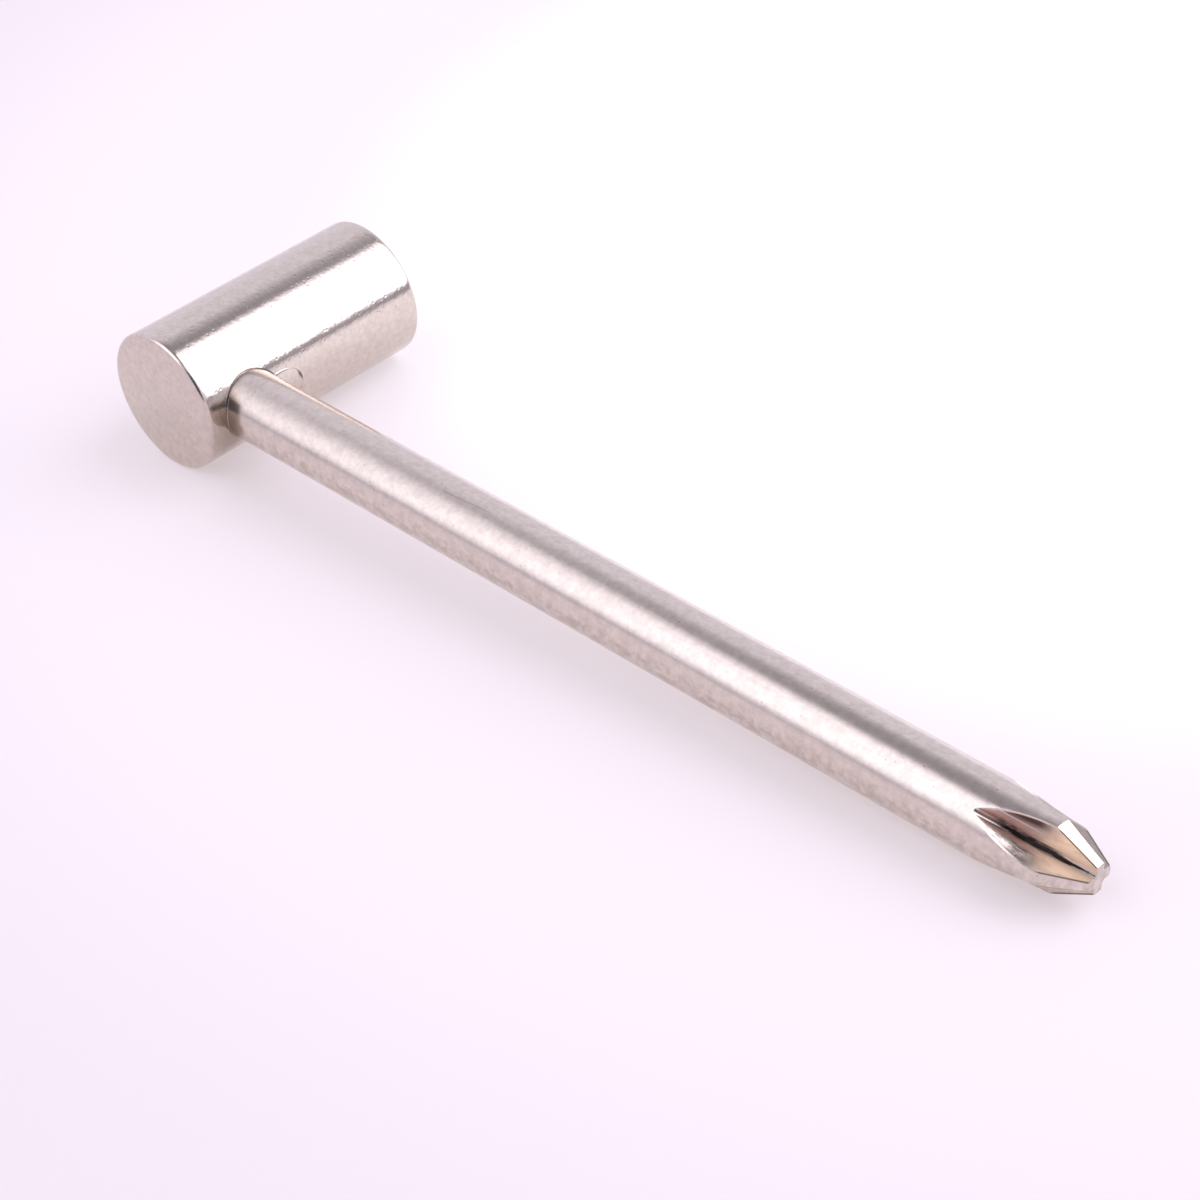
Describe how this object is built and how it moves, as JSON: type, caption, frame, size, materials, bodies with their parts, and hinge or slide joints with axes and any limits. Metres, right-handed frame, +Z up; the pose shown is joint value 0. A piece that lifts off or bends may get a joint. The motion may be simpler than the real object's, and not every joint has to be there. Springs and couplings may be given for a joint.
{
  "type": "truss rod wrench",
  "caption": "L-shaped hand wrench: a round plated head with a hexagon socket in its end, brazed across a straight round shaft that finishes in a cross-point driver tip.",
  "frame": {"origin": "middle of the footprint of the wrench as it lies, on the surface it lies on", "axes": "+X along the shaft from head to driver tip, +Y along the head from its closed end to the socket's mouth, +Z up from the surface the wrench lies on; the shaft dips 2.1 degrees towards its tip"},
  "size_m": [0.0972, 0.0234, 0.0125],
  "materials": {
    "head_plating": "bright nickel plate over turned steel, slightly rippled",
    "shaft_plating": "satin nickel plate over drawn steel rod, with fine pits",
    "bead_plating": "nickel plate over braze filler"
  },
  "bodies": {
    "root": {"socket_head": "head_plating", "drive_shaft": "shaft_plating", "braze_bead": "bead_plating"}
  },
  "joints": []
}
